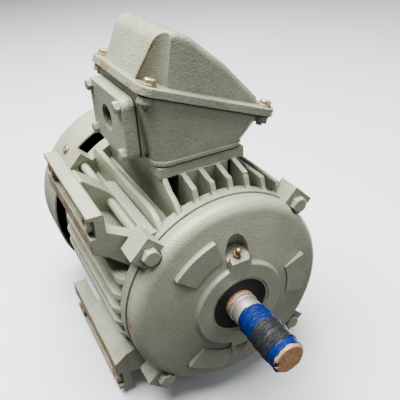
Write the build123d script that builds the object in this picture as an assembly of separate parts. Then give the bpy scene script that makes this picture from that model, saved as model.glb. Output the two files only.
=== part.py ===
from build123d import *
from math import cos, pi, radians, sin, sqrt, tan
import os

# Foot mounted, fan cooled three-phase motor with a cast frame. Millimetres.
# X runs along the shaft towards the drive end, Z is up from the feet, and the
# terminal box is on the -Y side. The origin is the centre of the foot bolt pattern.

# Mounting dimensions of the 182T frame size
SHAFT_HEIGHT = 114.3
FOOT_SPAN_Y = 190.5
FOOT_SPAN_X = 114.3
FOOT_HOLE_D = 10.3
FOOT_HOLE_TO_SHOULDER = 69.85
SHAFT_D = 28.575
SHAFT_LENGTH = 69.85
KEY_WIDTH = 6.35
KEY_LENGTH = 44.45
KEYWAY_DEPTH = 3.53
CONDUIT_D = 24.8

# Feet
FOOT_OUTER_MARGIN = 10.6
FOOT_WIDTH = 36.5
FOOT_THICKNESS = 15.0
FOOT_FRONT_MARGIN = 10.5
FOOT_REAR_MARGIN = 21.2
FOOT_GROOVE_WIDTH = 17.6
FOOT_GROOVE_DEPTH = 5.5
FOOT_BOLT_PAD_R = 8.0
SKIRT_THICKNESS = 8.0
ARM_WIDTH = 27.0
ARM_REAR_X = -24.0
ARM_ROUNDING = 8.0
FRONT_LEG_WIDTH = 17.0
FRONT_LEG_LEAN = 12.0
LEG_TOE = 18.0
LEG_HEEL_Y = 45.0
LEG_HEEL_Z = 78.0
ARM_INNER_Y = 60.0
ARM_HEEL_Y = 50.0
ARM_HEEL_Z = 72.0
BAR_TOP_Y = 84.0
BAR_LOW_Z = 71.0
BAR_HEIGHT = 10.5
BAR_FRONT_X = 85.0
ROD_ANGLE = 52.0
ROD_R = 96.0
ROD_THICKNESS = 7.0

# Frame
FRAME_FRONT_X = 91.5
FRAME_REAR_X = -97.0
STATOR_R = 80.0
BARREL_WALL = 9.0
RING_R = 101.3
RING_WIDTH = 12.0
SPIGOT_R = 84.0
SPIGOT_LENGTH = 6.0
SPIGOT_WALL = 7.0
FIN_THICKNESS = 5.0
FIN_TIP_ROUNDING = 2.3
SIDE_FIN_PITCH = 17.5
SIDE_FIN_COUNT = 6
SIDE_FIN_MIDDLE_Z = 22.9
SIDE_FIN_R = 115.0
BASE_FIN_PITCH = 15.7
BASE_FIN_COUNT = 6
BASE_FIN_R = 107.8
FIN_END_INSET = 3.5
FIN_END_SLOPE = 6.5
FIN_ROOT_R = 102.0
FIN_END_ROUNDING = 3.5
BASE_FIN_END_ROUNDING = 16.0
RING_STEP = 1.3
SEAM_CHAMFER = 1.1

# Bolted joint between frame and end shields
BOLT_CIRCLE_R = 106.4
EAR_WIDTH = 25.0
EAR_MARGIN = 12.0
EAR_THICKNESS = 9.9
FRAME_EAR_THICKNESS = 13.0
BOLT_D = 9.525
BOLT_HEAD_AF = 14.3
BOLT_HEAD_HEIGHT = 6.4
BOLT_REACH = 11.0
BOLT_SEAT_R = 9.2
HOLE_CLEARANCE = 0.2

# Drive end shield
SHIELD_FACE_X = 122.5
BOSS_R = 44.7
BOSS_STEP = 3.9
SHOULDER_X = 108.2
SHOULDER_ROUNDING = 12.0
SHIELD_WALL = 8.0
PAD_COUNT = 3
PAD_FIRST_ANGLE = -33.0
PAD_HALF_ANGLE = 17.0
PAD_INNER_R = 56.0
PAD_OUTER_R = 79.0
PAD_FACE_X = 118.0
LOBE_WIDTH = 22.0
GREASE_FLOOR_R = 54.0
GREASE_FLOOR_X = 115.5
GREASE_TILT = 64.0
GREASE_SCOOP_R = 11.6

# Bearings, named by bore, outer diameter, width, balls and ball diameter
DE_BORE, DE_OD, DE_WIDTH = 30.0, 62.0, 16.0
DE_BALLS, DE_BALL_D = 9, 9.525
NDE_BORE, NDE_OD, NDE_WIDTH = 25.0, 52.0, 15.0
NDE_BALLS, NDE_BALL_D = 9, 7.938
DE_BEARING_X = 96.0
NDE_BEARING_X = -118.0
RACE_SHARE = 0.30
BALL_CLEARANCE = 0.06
CAGE_THICKNESS = 2.4
CAGE_WIDTH_SHARE = 0.72
HUB_WALL = 9.0
SEAL_R = 28.4
SEAL_WIDTH = 7.0
SEAL_RECESS = 3.0
SEAL_LIP = 2.4
SEAL_CLEARANCE = 0.08

# Rotor and stator
AIR_GAP = 0.4
STATOR_BORE_R = 50.0
STACK_REAR_X = -55.0
STACK_FRONT_X = 39.0
WINDING_INNER_R = 55.0
WINDING_OUTER_R = 74.0
WINDING_OVERHANG = 33.0
SLOT_COUNT = 24
SLOT_WIDTH = 6.0
CAGE_RING_LENGTH = 12.0
CAGE_BAR_D = 7.0
CAGE_BAR_COUNT = 18
CAGE_RING_INNER_R = 30.0
ROTOR_SEAT_R = 21.0
DE_SHOULDER_R = 18.5
NDE_SHOULDER_R = 16.0

# Cooling fan and cover
COVER_R = 111.7
COVER_SHEET = 2.0
COVER_FRONT_X = -114.6
COVER_REAR_X = -180.0
COVER_CORNER = 14.0
COVER_SCREW_X = -133.0
COVER_SCREW_D = 5.0
FAN_CLEARANCE = 4.7
FAN_HUB_R = 21.0
FAN_SEAT_R = 11.0
FAN_FRONT_X = -129.0
FAN_DISC_MARGIN = 4.0
FAN_DISC_THICKNESS = 3.0
FAN_DEPTH = 30.0
FAN_BLADES = 8
FAN_BLADE_THICKNESS = 3.0
FAN_HUB_LENGTH = 22.0
FAN_CLIP_WIDTH = 1.2
REAR_SHIELD_X = -124.0
REAR_SHIELD_R = 92.0
COVER_LUG_WIDTH = 18.0
COVER_LUG_DEPTH = 10.0
COVER_LUG_REAR_X = -142.0

# Terminal box
PAD_RISE = 12.0
PAD_THICKNESS = 10.0
PAD_LENGTH = 120.0
PAD_WIDTH = 86.0
GASKET = 1.5
BOX_BASE_THICKNESS = 6.0
BOX_WALL = 5.0
BOX_BASE_X = 118.0
BOX_BASE_Z = 86.4
BOX_LIP = 2.0
BOX_LIP_HEIGHT = 3.5
BOX_TOP_X = 120.0
BOX_TOP_LENGTH = 124.4
BOX_TOP_SHIFT = -3.2
BOX_CORNER = 13.0
SPLIT_ANGLE = 20.8
SPLIT_RISE = 45.3
SPLIT_Z = 11.3
LID_X = 128.0
LID_LENGTH = 139.5
LID_FLANGE = 7.5
LID_CORNER = 11.0
LID_HUMP_X = 104.0
LID_HIGH = 52.0
LID_LOW = 12.0
LID_END_ROUNDING = 6.0
LID_WALL = 5.0
LID_SCREW_INSET = 10.0
LID_SCREW_D = 6.0
LID_SCREW_AF = 9.5
LID_LUG_R = 7.0
LID_LUG_DEPTH = 6.0
SCOOP_BASE_R = 20.0
SCOOP_TOP_R = 9.0
LEAD_WINDOW_X = 49.0
LEAD_WINDOW_LENGTH = 14.0
LEAD_WINDOW_WIDTH = 40.0
BOX_SCREW_X = 46.0
BOX_SCREW_Z = 31.0
BOX_SCREW_D = 6.0

# Conduit plate on the underside wall of the terminal box
PLATE_LENGTH = 86.0
PLATE_HEIGHT = 56.0
PLATE_THICKNESS = 11.5
PLATE_CORNER = 8.0
PLATE_RISE = 33.0
PLATE_BOSS_Z = 50.5
PLATE_BOLT_X = 72.0
PLATE_BOLT_Y = 43.0
PLATE_BOLT_D = 6.0
PLATE_BOLT_AF = 9.5

# Terminal board
BOARD_LENGTH = 60.0
BOARD_WIDTH = 44.0
BOARD_HEIGHT = 12.0
STUD_D = 5.0
STUD_PITCH_X = 20.0
STUD_PITCH_Z = 24.0
STUD_LENGTH = 14.0
NUT_AF = 8.0
NUT_HEIGHT = 4.0
LEAD_D = 4.0
LEAD_COUNT = 6
LEAD_PITCH = 6.0
LEAD_BEND = 8.0

# Places worked out from the dimensions above
SHAFT_SHOULDER_X = FOOT_SPAN_X / 2 + FOOT_HOLE_TO_SHOULDER
SHAFT_END_X = SHAFT_SHOULDER_X + SHAFT_LENGTH
FOOT_OUTER_Y = FOOT_SPAN_Y / 2 + FOOT_OUTER_MARGIN
FOOT_INNER_Y = FOOT_OUTER_Y - FOOT_WIDTH
FOOT_FRONT_X = FOOT_SPAN_X / 2 + FOOT_FRONT_MARGIN
FOOT_REAR_X = -FOOT_SPAN_X / 2 - FOOT_REAR_MARGIN
BARREL_R = STATOR_R + BARREL_WALL
BARREL_LENGTH = FRAME_FRONT_X - FRAME_REAR_X
BARREL_MIDDLE_X = (FRAME_FRONT_X + FRAME_REAR_X) / 2
PAD_TOP_Y = SIDE_FIN_R + PAD_RISE
PAD_BOTTOM_Y = PAD_TOP_Y - PAD_THICKNESS
SPLIT_Y = PAD_TOP_Y + SPLIT_RISE
PLATE_CENTRE_Y = PAD_TOP_Y + PLATE_RISE
BOX_BOTTOM_Y = PAD_TOP_Y + GASKET
BOX_FLOOR_Y = BOX_BOTTOM_Y + BOX_BASE_THICKNESS
PLATE_INNER_Z = PLATE_BOSS_Z + GASKET
PLATE_OUTER_Z = PLATE_INNER_Z + PLATE_THICKNESS
LID_SCREW_X = LID_X / 2 - LID_SCREW_INSET
LID_SCREW_U = LID_LENGTH / 2 - LID_SCREW_INSET
SEAL_POCKET_X = SHIELD_FACE_X - SEAL_RECESS - SEAL_WIDTH
ROTOR_R = STATOR_BORE_R - AIR_GAP
FAN_R = COVER_R - COVER_SHEET - COVER_LUG_DEPTH - FAN_CLEARANCE
FAN_DISC_R = FAN_R - FAN_DISC_MARGIN
BOLT_SEAT_DEPTH = BOLT_HEAD_HEIGHT + 3.0
EAR_ANGLES = (45, 135, 225, 315)
AXIS = Pos(0, 0, SHAFT_HEIGHT)


def turned(points, radii=None):
    """Solid turned about the shaft axis from corner points (x, radius)."""
    radii = radii or [0] * len(points)
    profile = make_face(FilletPolyline(*points, radius=radii, close=True))
    return AXIS * revolve(profile, Axis.X)


def disc(radius, x0, x1):
    """Round bar on the shaft axis from x0 to x1."""
    return Pos((x0 + x1) / 2, 0, SHAFT_HEIGHT) * Rot(0, 90, 0) * Cylinder(radius, abs(x1 - x0))


def tube(outer, inner, x0, x1):
    """Ring on the shaft axis from x0 to x1."""
    return disc(outer, x0, x1) - disc(inner, x0 - 1, x1 + 1)


def block(x0, x1, y0, y1, z0, z1):
    """Box between two corners, with z measured from the foot plane."""
    return Pos((x0 + x1) / 2, (y0 + y1) / 2, (z0 + z1) / 2) * Box(x1 - x0, y1 - y0, z1 - z0)


def radial_block(angle, r0, r1, width, x0, x1):
    """Box standing out from the shaft axis at an angle from +Y towards +Z."""
    bar = Pos((x0 + x1) / 2, (r0 + r1) / 2, 0) * Box(x1 - x0, r1 - r0, width)
    return AXIS * Rot(angle, 0, 0) * bar


def at_ears(x):
    """Places of the four shield bolts at one x, with local Z along +X."""
    spots = []
    for angle in EAR_ANGLES:
        y = BOLT_CIRCLE_R * cos(radians(angle))
        z = BOLT_CIRCLE_R * sin(radians(angle))
        spots.append(Pos(x, y, SHAFT_HEIGHT + z) * Rot(0, 90, 0))
    return spots


def hexagon(across_flats, height):
    """Hexagonal prism with its lower face on the local XY plane."""
    return extrude(RegularPolygon(across_flats / 2, 6, major_radius=False), height)


def hex_screw(across_flats, head_height, shank_d, shank_length, chamfer_share=0.12):
    """Hex head screw, head above the local XY plane and shank below it."""
    head = hexagon(across_flats, head_height)
    crown = Pos(0, 0, head_height / 2) * Cylinder(across_flats / 2 / cos(pi / 6), head_height)
    crown = chamfer(crown.edges().group_by(Axis.Z)[-1], across_flats * chamfer_share)
    shank = Pos(0, 0, -shank_length / 2) * Cylinder(shank_d / 2, shank_length)
    return (head & crown) + shank


def joined(solids):
    """All solids fused to one shape."""
    first, *rest = solids
    return first + rest if rest else first


def separate(solids):
    """Group of solids that stay separate pieces."""
    return Compound(children=[s for shape in solids for s in shape.solids()])


# Places in the tilted split plane of the terminal box
SPLIT_PLANE = Plane(
    origin=(0, -SPLIT_Y, SHAFT_HEIGHT + SPLIT_Z),
    x_dir=(1, 0, 0),
    z_dir=(0, -cos(radians(SPLIT_ANGLE)), sin(radians(SPLIT_ANGLE))),
)
SPLIT = SPLIT_PLANE.location


def side_fin_envelope():
    """Turned body that gives side fins their outer radius and their sloping ends."""
    root = BARREL_LENGTH / 2 - FIN_END_INSET
    top = root - FIN_END_SLOPE
    half = [(root, 0), (root, FIN_ROOT_R), (root - FIN_END_SLOPE / 2, FIN_ROOT_R + 3), (top, SIDE_FIN_R)]
    points = half + [(-x, r) for x, r in reversed(half)]
    return Pos(BARREL_MIDDLE_X, 0, 0) * turned(points, [0, 0, 3, FIN_END_ROUNDING, FIN_END_ROUNDING, 3, 0, 0])


def base_fin_envelope():
    """Turned body that gives the lower and upper fins their radius and round ends."""
    root = BARREL_LENGTH / 2 - 2 * FIN_END_INSET
    points = [(-root, 0), (-root, BASE_FIN_R), (root, BASE_FIN_R), (root, 0)]
    rounding = BASE_FIN_END_ROUNDING
    return Pos(BARREL_MIDDLE_X, 0, 0) * turned(points, [0, rounding, rounding, 0])


def fin_sections(offsets, reach):
    """Cross-sections of parallel fins that stand along local +X."""
    sections = Sketch()
    for offset in offsets:
        lower = sqrt(BARREL_R**2 - offset**2) - 2 * BARREL_WALL / 3
        upper = sqrt(reach**2 - offset**2)
        section = Rectangle(upper - lower, FIN_THICKNESS)
        section = fillet(section.vertices().group_by(Axis.X)[-1], FIN_TIP_ROUNDING)
        sections += Pos((upper + lower) / 2, offset) * section
    return sections


def fins(direction, offsets, radius, envelope):
    """Parallel fins on one side; direction is the angle from +Y towards +Z."""
    plane = Plane(
        origin=(FRAME_REAR_X, 0, SHAFT_HEIGHT),
        x_dir=(0, cos(radians(direction)), sin(radians(direction))),
        z_dir=(1, 0, 0),
    )
    return extrude(plane * fin_sections(offsets, radius), BARREL_LENGTH) & envelope


def spread(count, pitch, middle=0.0):
    """Evenly spaced values round a middle value."""
    return [middle + (i - (count - 1) / 2) * pitch for i in range(count)]


def box_pad():
    """Seat of the terminal box on the frame, carried by the fins under it."""
    half_x = PAD_LENGTH / 2
    half_z = PAD_WIDTH / 2
    plate = block(-half_x, half_x, -PAD_TOP_Y, -PAD_BOTTOM_Y, SHAFT_HEIGHT - half_z, SHAFT_HEIGHT + half_z)
    slope_x = BARREL_LENGTH / 2 - FIN_END_INSET - FIN_END_SLOPE - FIN_END_ROUNDING
    outline = Polyline(
        (-slope_x, -BARREL_R), (slope_x, -BARREL_R), (slope_x, -SIDE_FIN_R + 3),
        (half_x, -PAD_BOTTOM_Y - 1), (-half_x, -PAD_BOTTOM_Y - 1), (-slope_x, -SIDE_FIN_R + 3), close=True)
    rib_area = make_face(outline)
    ribs = []
    for offset in spread(SIDE_FIN_COUNT, SIDE_FIN_PITCH, SIDE_FIN_MIDDLE_Z):
        if abs(offset) < half_z:
            rib = extrude(rib_area, FIN_THICKNESS / 2, both=True)
            ribs.append(Pos(0, 0, SHAFT_HEIGHT + offset) * rib)
    neck_x = LEAD_WINDOW_LENGTH / 2 + BOX_WALL
    neck_z = LEAD_WINDOW_WIDTH / 2 + BOX_WALL
    neck = block(LEAD_WINDOW_X - neck_x, LEAD_WINDOW_X + neck_x, -PAD_BOTTOM_Y - 1, -STATOR_R,
                 SHAFT_HEIGHT - neck_z, SHAFT_HEIGHT + neck_z)
    return joined([plate, neck] + ribs)


def lead_window():
    """Way for the leads from the stator winding into the terminal box."""
    half_x = LEAD_WINDOW_LENGTH / 2
    half_z = LEAD_WINDOW_WIDTH / 2
    return block(LEAD_WINDOW_X - half_x, LEAD_WINDOW_X + half_x, -BOX_FLOOR_Y - 1, -WINDING_INNER_R,
                 SHAFT_HEIGHT - half_z, SHAFT_HEIGHT + half_z)


def web(points, x0, x1):
    """Plate across the motor with corners (y, z), z from the shaft axis."""
    plane = Plane(origin=(x0, 0, SHAFT_HEIGHT), x_dir=(0, 1, 0), z_dir=(1, 0, 0))
    return extrude(plane * make_face(Polyline(*points, close=True)), x1 - x0)


def side_plate(points, rounding, depth):
    """Plate along the motor with corners (x, z), z from the shaft axis, reaching in from -Y."""
    plane = Plane(origin=(0, -FOOT_OUTER_Y, SHAFT_HEIGHT), x_dir=(1, 0, 0), z_dir=(0, -1, 0))
    return extrude(plane * make_face(FilletPolyline(*points, radius=rounding, close=True)), -depth)


def foot():
    """Foot on the -Y side: rail, inner skirt, middle arm with its bar, and front leg."""
    rail_top = FOOT_THICKNESS - SHAFT_HEIGHT
    ground = -SHAFT_HEIGHT
    root_z = rail_top - 1
    rail = block(FOOT_REAR_X, FOOT_FRONT_X, -FOOT_OUTER_Y, -FOOT_INNER_Y, 0, FOOT_THICKNESS)
    rail = fillet(rail.edges().filter_by(Axis.X).group_by(Axis.Z)[-1].sort_by(Axis.Y)[0], 2.5)
    barrel_z = -BARREL_R * 0.8
    barrel_y = -BARREL_R * 0.6 + 4
    skirt = web([(-FOOT_INNER_Y, ground), (-FOOT_INNER_Y - SKIRT_THICKNESS, ground),
                 (-FOOT_INNER_Y - SKIRT_THICKNESS, rail_top), (barrel_y - SKIRT_THICKNESS, barrel_z + 6),
                 (barrel_y, barrel_z)], ARM_REAR_X, FOOT_FRONT_X)
    arm_front_x = ARM_REAR_X + ARM_WIDTH
    bar_high_z = BAR_HEIGHT - BAR_LOW_Z
    arm_side = side_plate(
        [(ARM_REAR_X, root_z), (ARM_REAR_X, bar_high_z), (BAR_FRONT_X, bar_high_z), (BAR_FRONT_X, -BAR_LOW_Z),
         (arm_front_x, -BAR_LOW_Z), (arm_front_x, root_z)],
        [0, ARM_ROUNDING, 1.5, 1.5, ARM_ROUNDING, 0], FOOT_OUTER_Y - FOOT_INNER_Y / 2)
    arm_slope = web([(-FOOT_OUTER_Y, root_z), (-FOOT_OUTER_Y, rail_top + 2), (-BAR_TOP_Y, -BAR_LOW_Z),
                     (-BAR_TOP_Y, bar_high_z), (-ARM_INNER_Y, bar_high_z), (-ARM_HEEL_Y, -ARM_HEEL_Z),
                     (-FOOT_INNER_Y, root_z)],
                    ARM_REAR_X, BAR_FRONT_X)
    leg_rear_x = FOOT_FRONT_X - FRONT_LEG_WIDTH
    leg_top_z = -RING_R * 0.70
    leg_side = side_plate(
        [(leg_rear_x, ground + 1), (leg_rear_x, root_z), (leg_rear_x + FRONT_LEG_LEAN, leg_top_z),
         (FOOT_FRONT_X + FRONT_LEG_LEAN, leg_top_z), (FOOT_FRONT_X, root_z), (FOOT_FRONT_X, ground + 1)],
        [0, 0, 0, 0, 0, 0], FOOT_OUTER_Y - FOOT_INNER_Y / 2)
    leg_slope = web([(-FOOT_OUTER_Y + LEG_TOE, root_z), (-RING_R * 0.76, leg_top_z), (-ARM_INNER_Y, leg_top_z),
                     (-LEG_HEEL_Y, -LEG_HEEL_Z), (-FOOT_INNER_Y, ground + 1)],
                    leg_rear_x, FOOT_FRONT_X + FRONT_LEG_LEAN)
    shape = joined([rail, skirt, arm_side & arm_slope, leg_side & leg_slope])
    groove_outer = FOOT_SPAN_Y / 2 + FOOT_HOLE_D / 2 + 1.4
    groove = block(FOOT_REAR_X - 1, FOOT_FRONT_X + 1, -groove_outer, -groove_outer + FOOT_GROOVE_WIDTH,
                   -1, FOOT_GROOVE_DEPTH)
    hole_places = [Pos(x, -FOOT_SPAN_Y / 2, 0) for x in (-FOOT_SPAN_X / 2, FOOT_SPAN_X / 2)]
    for place in hole_places:
        groove -= place * Pos(0, 0, FOOT_GROOVE_DEPTH) * Cylinder(FOOT_BOLT_PAD_R, 2 * FOOT_GROOVE_DEPTH)
    shape -= groove
    for place in hole_places:
        shape -= place * Cylinder(FOOT_HOLE_D / 2, 60)
    return shape


def frame_housing():
    """Cast frame with barrel, fins, ears, feet and terminal box pad."""
    pieces = [tube(BARREL_R, STATOR_R, FRAME_REAR_X, FRAME_FRONT_X)]
    for x0 in (FRAME_REAR_X, FRAME_FRONT_X - RING_WIDTH):
        pieces.append(tube(RING_R + RING_STEP, STATOR_R, x0, x0 + RING_WIDTH))
    side_envelope = side_fin_envelope()
    base_envelope = base_fin_envelope()
    for direction, sign in ((0, 1), (180, -1)):
        offsets = spread(SIDE_FIN_COUNT, SIDE_FIN_PITCH, sign * SIDE_FIN_MIDDLE_Z)
        pieces.append(fins(direction, offsets, SIDE_FIN_R, side_envelope))
    for direction in (90, 270):
        pieces.append(fins(direction, spread(BASE_FIN_COUNT, BASE_FIN_PITCH), BASE_FIN_R, base_envelope))
    for angle in (180 + ROD_ANGLE, 360 - ROD_ANGLE):
        rod = radial_block(angle, STATOR_R + 3, ROD_R, ROD_THICKNESS, FRAME_REAR_X + RING_WIDTH,
                           FRAME_FRONT_X - RING_WIDTH)
        tip_edges = rod.edges().filter_by(Axis.X).sort_by_distance((0, 0, SHAFT_HEIGHT))[-2:]
        pieces.append(fillet(tip_edges, ROD_THICKNESS * 0.45))
    for angle in EAR_ANGLES:
        for x0 in (FRAME_REAR_X, FRAME_FRONT_X - FRAME_EAR_THICKNESS):
            pieces.append(radial_block(angle, STATOR_R + 3, BOLT_CIRCLE_R + EAR_MARGIN, EAR_WIDTH,
                                       x0, x0 + FRAME_EAR_THICKNESS))
    pieces.append(foot())
    pieces.append(mirror(foot(), Plane.XZ))
    pieces.append(box_pad())
    shape = joined(pieces)
    shape -= disc(STATOR_R, FRAME_REAR_X - 1, FRAME_FRONT_X + 1)
    for x0, x1 in ((FRAME_REAR_X - 1, FRAME_REAR_X + SPIGOT_LENGTH),
                   (FRAME_FRONT_X - SPIGOT_LENGTH, FRAME_FRONT_X + 1)):
        shape -= disc(SPIGOT_R, x0, x1)
    shape -= lead_window()
    hole = Cylinder(BOLT_D / 2 + HOLE_CLEARANCE, 2 * FRAME_EAR_THICKNESS)
    for spot in at_ears(FRAME_FRONT_X) + at_ears(FRAME_REAR_X):
        shape -= spot * hole
    for x in (-BOX_SCREW_X, BOX_SCREW_X):
        for z in (-BOX_SCREW_Z, BOX_SCREW_Z):
            tapped = Rot(90, 0, 0) * Cylinder(BOX_SCREW_D / 2 + HOLE_CLEARANCE, PAD_THICKNESS)
            shape -= Pos(x, -PAD_TOP_Y + PAD_THICKNESS / 2 - 1, SHAFT_HEIGHT + z) * tapped
    return shape


def shield_ears(x0, x1):
    """Four ears that take the bolts of an end shield."""
    return [radial_block(a, STATOR_R + 8, BOLT_CIRCLE_R + EAR_MARGIN, EAR_WIDTH, x0, x1) for a in EAR_ANGLES]


def grease_axis(side):
    """Plane at the floor of the grease scoop, its normal pointing out of the shield."""
    tilt = radians(GREASE_TILT)
    return Plane(
        origin=(GREASE_FLOOR_X, side * GREASE_FLOOR_R, SHAFT_HEIGHT),
        x_dir=(0, 0, 1),
        z_dir=(cos(tilt), side * sin(tilt), 0),
    ).location


def drive_end_shield():
    """Domed shield with bearing seat, seal pocket, ears, pads and grease lobes."""
    bearing_r = DE_OD / 2
    bearing_end = DE_BEARING_X + DE_WIDTH
    hub_r = bearing_r + HUB_WALL
    boss_foot_x = SHIELD_FACE_X - BOSS_STEP
    points = [
        (DE_BEARING_X - 4, bearing_r), (bearing_end, bearing_r), (bearing_end, DE_BORE / 2 + 4),
        (SEAL_POCKET_X, DE_BORE / 2 + 4), (SEAL_POCKET_X, SEAL_R), (SHIELD_FACE_X - SEAL_RECESS / 3, SEAL_R),
        (SHIELD_FACE_X - SEAL_RECESS / 3, SEAL_R + SEAL_LIP), (SHIELD_FACE_X, SEAL_R + SEAL_LIP),
        (SHIELD_FACE_X, BOSS_R), (boss_foot_x, BOSS_R + 1.8), (SHOULDER_X, RING_R),
        (FRAME_FRONT_X + SEAM_CHAMFER, RING_R), (FRAME_FRONT_X, RING_R - SEAM_CHAMFER),
        (FRAME_FRONT_X, SPIGOT_R), (FRAME_FRONT_X - SPIGOT_LENGTH, SPIGOT_R),
        (FRAME_FRONT_X - SPIGOT_LENGTH, SPIGOT_R - SPIGOT_WALL),
        (SHOULDER_X - SHIELD_WALL, SPIGOT_R - SPIGOT_WALL), (boss_foot_x - SHIELD_WALL, hub_r),
        (DE_BEARING_X - 4, hub_r),
    ]
    radii = [0, 0, 0, 0, 0, 0, 0, 0, 1.2, 2, SHOULDER_ROUNDING, 0, 0, 0, 0, 0, 4, 3, 0]
    shape = joined([turned(points, radii)] + shield_ears(FRAME_FRONT_X, FRAME_FRONT_X + EAR_THICKNESS))
    for side in (-1, 1):
        lobe_y = sorted((side * (SEAL_R + 8), side * (GREASE_FLOOR_R + 6)))
        shape += block(SHOULDER_X - 2, SHIELD_FACE_X, *lobe_y,
                       SHAFT_HEIGHT - LOBE_WIDTH / 2, SHAFT_HEIGHT + LOBE_WIDTH / 2)
        scoop = grease_axis(side) * Pos(0, 0, 20) * Cylinder(GREASE_SCOOP_R, 40)
        shape -= scoop
        shape -= grease_axis(side) * Cylinder(2.5, 14)
    for i in range(PAD_COUNT):
        middle = 180 - PAD_FIRST_ANGLE - 360 / PAD_COUNT * i
        sector = tube(PAD_OUTER_R, PAD_INNER_R, SHOULDER_X - 3, PAD_FACE_X)
        edge = 2 * PAD_OUTER_R
        corner = tan(radians(PAD_HALF_ANGLE)) * edge
        wedge = extrude(make_face(Polyline((0, 0), (edge, -corner), (edge, corner), close=True)), 60)
        plane = Plane(
            origin=(SHOULDER_X - 20, 0, SHAFT_HEIGHT),
            x_dir=(0, cos(radians(middle)), sin(radians(middle))),
            z_dir=(1, 0, 0),
        )
        shape += sector & plane.location * wedge
    hole = Cylinder(BOLT_D / 2 + HOLE_CLEARANCE, 4 * EAR_THICKNESS)
    seat = Pos(0, 0, BOLT_SEAT_DEPTH / 2) * Cylinder(BOLT_SEAT_R, BOLT_SEAT_DEPTH)
    for spot in at_ears(FRAME_FRONT_X):
        shape -= spot * hole
        shape -= Pos(EAR_THICKNESS, 0, 0) * spot * seat
    return shape


def rear_end_shield():
    """Rear shield with bearing seat, ears and the lugs that hold the fan cover."""
    bearing_r = NDE_OD / 2
    hub_r = bearing_r + HUB_WALL
    pocket_x = NDE_BEARING_X - 2.5
    inner_x = REAR_SHIELD_X + SHIELD_WALL
    ring_x = FRAME_REAR_X - RING_WIDTH
    points = [
        (NDE_BEARING_X + NDE_WIDTH + 3, bearing_r), (pocket_x, bearing_r), (pocket_x, NDE_BORE / 2 + 2.5),
        (REAR_SHIELD_X, NDE_BORE / 2 + 2.5), (REAR_SHIELD_X, REAR_SHIELD_R), (ring_x, REAR_SHIELD_R),
        (ring_x, RING_R), (FRAME_REAR_X, RING_R), (FRAME_REAR_X, SPIGOT_R),
        (FRAME_REAR_X + SPIGOT_LENGTH, SPIGOT_R), (FRAME_REAR_X + SPIGOT_LENGTH, SPIGOT_R - SPIGOT_WALL),
        (inner_x, SPIGOT_R - SPIGOT_WALL), (inner_x, hub_r), (NDE_BEARING_X + NDE_WIDTH + 3, hub_r),
    ]
    radii = [0, 0, 0, 0, 6, 2, 3, 0, 0, 0, 0, 6, 3, 0]
    ears = shield_ears(FRAME_REAR_X - EAR_THICKNESS, FRAME_REAR_X)
    lugs = []
    lug_outer = COVER_R - COVER_SHEET
    for angle in EAR_ANGLES:
        lugs.append(radial_block(angle, REAR_SHIELD_R - 8, lug_outer, COVER_LUG_WIDTH,
                                 REAR_SHIELD_X, REAR_SHIELD_X + 4))
        lugs.append(radial_block(angle, lug_outer - COVER_LUG_DEPTH, lug_outer, COVER_LUG_WIDTH,
                                 COVER_LUG_REAR_X, REAR_SHIELD_X + 4))
    rim = disc(lug_outer, COVER_LUG_REAR_X - 1, REAR_SHIELD_X + 6)
    shape = joined([turned(points, radii)] + ears + [lug & rim for lug in lugs])
    hole = Cylinder(BOLT_D / 2 + HOLE_CLEARANCE, 4 * EAR_THICKNESS)
    seat = Pos(0, 0, -BOLT_SEAT_DEPTH / 2) * Cylinder(BOLT_SEAT_R, BOLT_SEAT_DEPTH)
    for spot in at_ears(FRAME_REAR_X):
        shape -= spot * hole
        shape -= Pos(-EAR_THICKNESS, 0, 0) * spot * seat
    for angle in EAR_ANGLES:
        tapped = Rot(90, 0, 0) * Cylinder(COVER_SCREW_D / 2 + HOLE_CLEARANCE, 4 * COVER_LUG_DEPTH)
        shape -= AXIS * Rot(angle, 0, 0) * Pos(COVER_SCREW_X, lug_outer, 0) * tapped
    return shape


def shield_bolts(front):
    """Four hex bolts of one end shield."""
    bolts = []
    length = EAR_THICKNESS + BOLT_REACH
    face_x = FRAME_FRONT_X + EAR_THICKNESS if front else FRAME_REAR_X - EAR_THICKNESS
    for spot in at_ears(face_x):
        turn = Rot(0, 0, 0) if front else Rot(180, 0, 0)
        bolts.append(spot * turn * hex_screw(BOLT_HEAD_AF, BOLT_HEAD_HEIGHT, BOLT_D, length))
    return separate(bolts)


def bearing(x0, bore, od, width, count, ball_d):
    """Outer race, inner race, balls and cage of a deep groove ball bearing."""
    bore_r = bore / 2
    outer_r = od / 2
    ring = (outer_r - bore_r) * RACE_SHARE
    pitch_r = (outer_r + bore_r) / 2
    ball_r = ball_d / 2
    middle = x0 + width / 2
    groove_path = revolve(Pos(middle, pitch_r) * Circle(ball_r + BALL_CLEARANCE), Axis.X)
    groove = AXIS * groove_path
    outer = tube(outer_r, outer_r - ring, x0, x0 + width) - groove
    inner = tube(bore_r + ring, bore_r, x0, x0 + width) - groove
    cage_half = width * CAGE_WIDTH_SHARE / 2
    cage = tube(pitch_r + CAGE_THICKNESS / 2, pitch_r - CAGE_THICKNESS / 2,
                middle - cage_half, middle + cage_half)
    balls = []
    for i in range(count):
        place = AXIS * Rot(360 / count * i, 0, 0) * Pos(middle, pitch_r, 0)
        balls.append(place * Sphere(ball_r))
        cage -= place * Sphere(ball_r + BALL_CLEARANCE)
    return outer, inner, separate(balls), cage


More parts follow.
